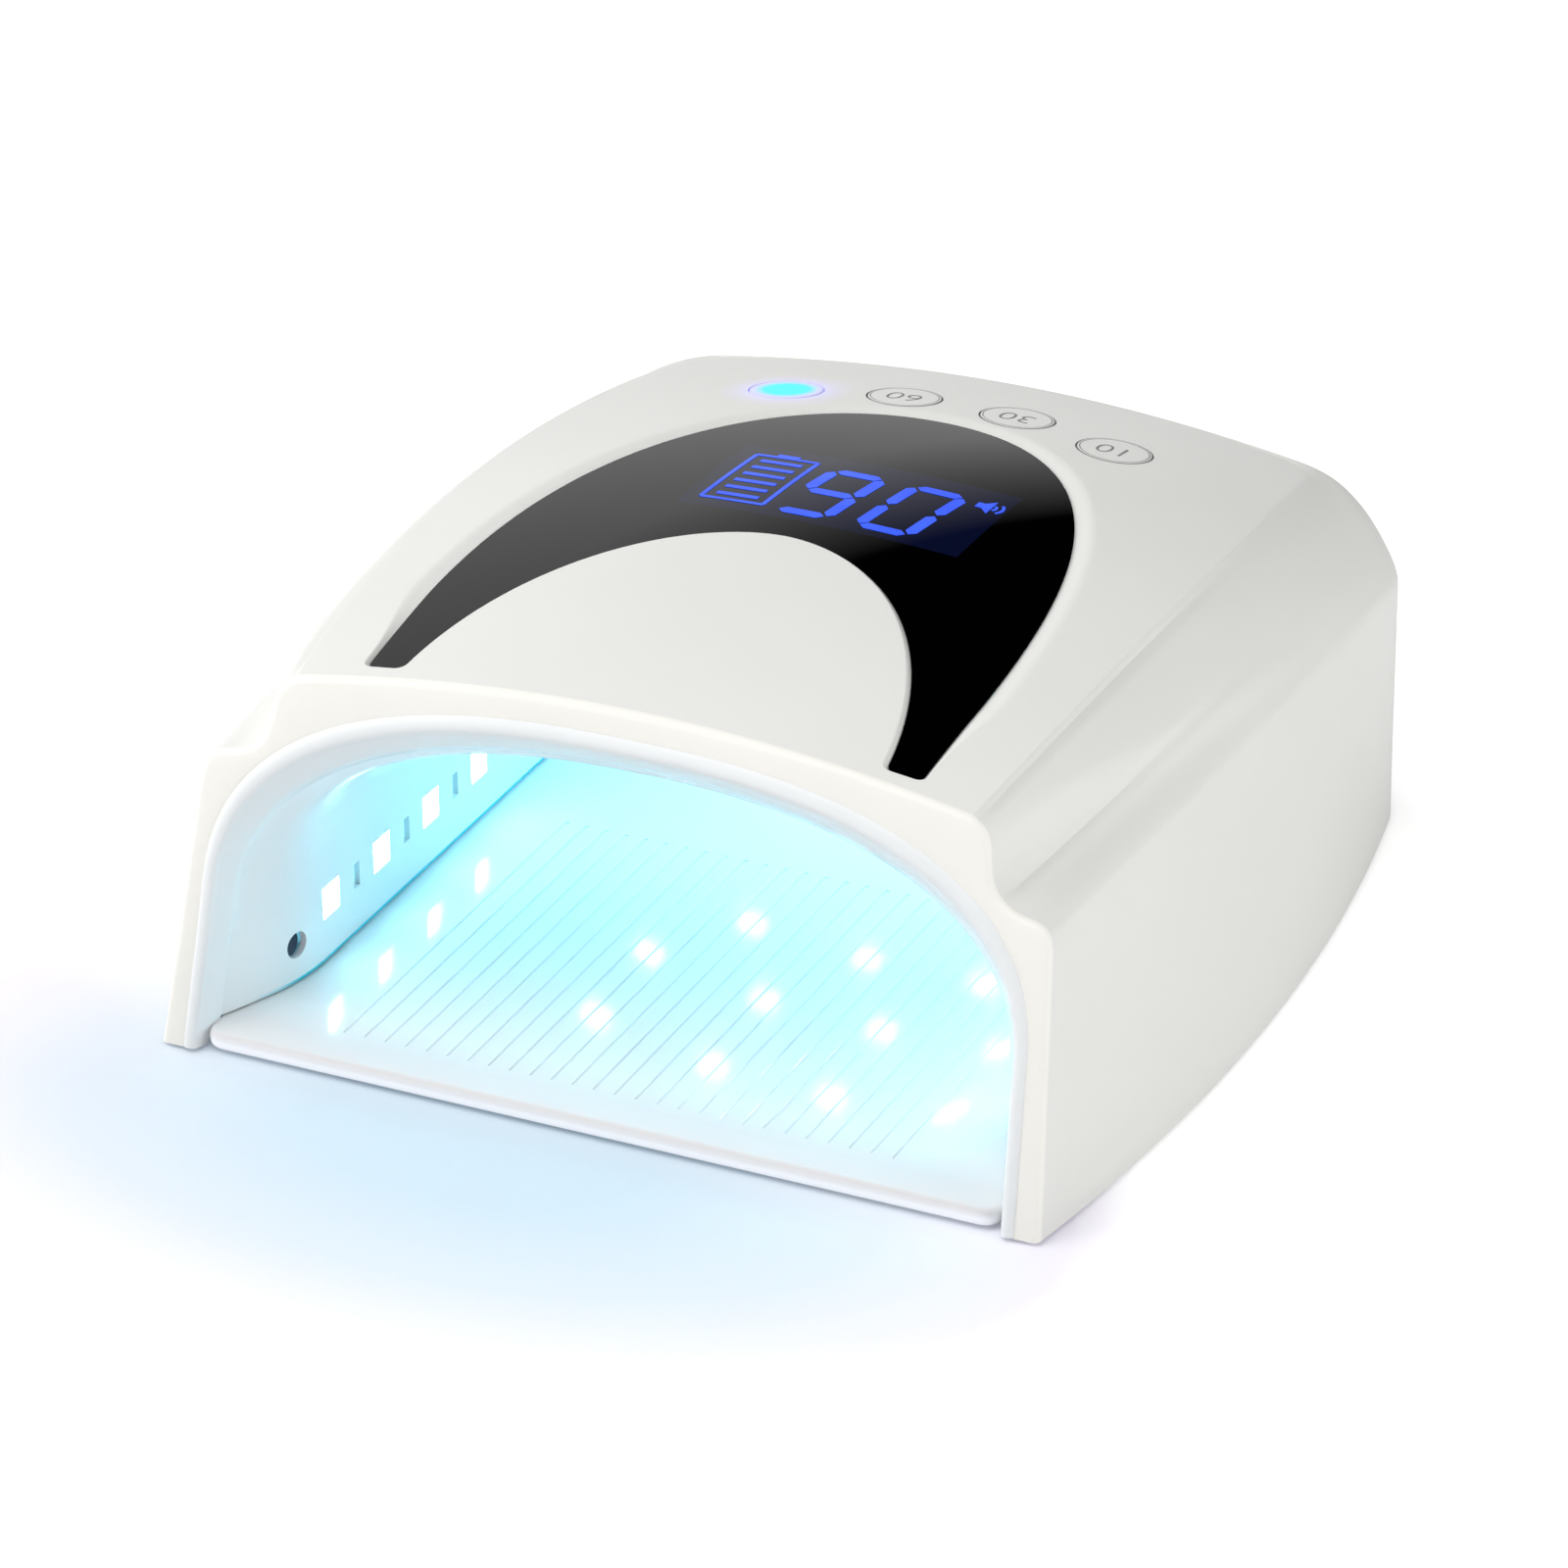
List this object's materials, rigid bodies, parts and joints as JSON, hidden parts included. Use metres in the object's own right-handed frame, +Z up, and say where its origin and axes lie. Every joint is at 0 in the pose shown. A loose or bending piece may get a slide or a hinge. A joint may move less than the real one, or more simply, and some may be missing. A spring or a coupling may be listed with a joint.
{
  "type": "cordless nail lamp",
  "caption": "Low domed lamp housing with a wide raked hand opening, ribbed base tray, curved display window, round keys, rear rocker switch and charging inlet.",
  "frame": {"origin": "on the table, in the middle of the lamp's outer size", "axes": "+X to the right seen from the hand opening, +Y to the rear, +Z up"},
  "size_m": [0.2246, 0.2338, 0.0989],
  "materials": {
    "shell_white": "satin warm white",
    "bezel_cream": "satin cream",
    "liner_white": "smooth cool white",
    "window_black": "polished black",
    "circuit_board": "green solder mask",
    "light_board": "white solder mask, lit",
    "dark_plastic": "fine grained black",
    "plated_steel": "nickel plated",
    "rubber": "matte grey",
    "cell_wrap": "blue shrink wrap"
  },
  "bodies": {
    "tray": {"base_tray": "shell_white", "foot_front_left": "rubber", "tray_magnet_front_left": "plated_steel", "foot_front_right": "rubber", "tray_magnet_front_right": "plated_steel", "foot_rear_left": "rubber", "tray_magnet_rear_left": "plated_steel", "foot_rear_right": "rubber", "tray_magnet_rear_right": "plated_steel"},
    "housing": {"top_shell": "shell_white", "front_bezel": "bezel_cream", "reflector_liner": "liner_white", "display_lens": "window_black", "display_board": "circuit_board", "control_board": "circuit_board", "light_board_left": "light_board", "light_board_right": "light_board", "light_strip_front": "light_board", "light_strip_middle": "light_board", "light_strip_rear": "light_board", "hand_sensor_left": "dark_plastic", "hand_sensor_right": "dark_plastic", "switch_99": "dark_plastic", "switch_60": "dark_plastic", "switch_30": "dark_plastic", "switch_10": "dark_plastic", "battery_cradle": "dark_plastic", "battery_cell_front_left": "cell_wrap", "battery_cell_front_right": "cell_wrap", "battery_cell_rear_left": "cell_wrap", "battery_cell_rear_right": "cell_wrap", "charging_socket": "dark_plastic", "rocker_body": "dark_plastic", "screw_front_left": "plated_steel", "screw_front_right": "plated_steel", "screw_middle_left": "plated_steel", "screw_middle_right": "plated_steel", "screw_rear_left": "plated_steel", "screw_rear_right": "plated_steel", "housing_magnet_front_left": "plated_steel", "housing_magnet_front_right": "plated_steel", "housing_magnet_rear_left": "plated_steel", "housing_magnet_rear_right": "plated_steel"},
    "key_99": {"key_99": "shell_white"},
    "key_60": {"key_60": "shell_white"},
    "key_30": {"key_30": "shell_white"},
    "key_10": {"key_10": "shell_white"},
    "rocker": {"rocker": "dark_plastic"}
  },
  "joints": [
    {"name": "housing_lift", "type": "slide", "parent": "tray", "child": "housing", "axis": [0, 0, 1], "range_m": [0, 0.04]},
    {"name": "key_99_press", "type": "slide", "parent": "housing", "child": "key_99", "axis": [0, -0.1781, -0.984], "range_m": [0, 0.0005], "stiffness_N_per_m": 300, "springref_m": -0.0005},
    {"name": "key_60_press", "type": "slide", "parent": "housing", "child": "key_60", "axis": [0, -0.1781, -0.984], "range_m": [0, 0.0005], "stiffness_N_per_m": 300, "springref_m": -0.0005},
    {"name": "key_30_press", "type": "slide", "parent": "housing", "child": "key_30", "axis": [0, -0.1781, -0.984], "range_m": [0, 0.0005], "stiffness_N_per_m": 300, "springref_m": -0.0005},
    {"name": "key_10_press", "type": "slide", "parent": "housing", "child": "key_10", "axis": [0, -0.1781, -0.984], "range_m": [0, 0.0005], "stiffness_N_per_m": 300, "springref_m": -0.0005},
    {"name": "rocker_tilt", "type": "hinge", "parent": "housing", "child": "rocker", "pos_m": [0.012, 0.11274, 0.03], "axis": [0, 0, 1], "range_deg": [-16, 0]}
  ]
}
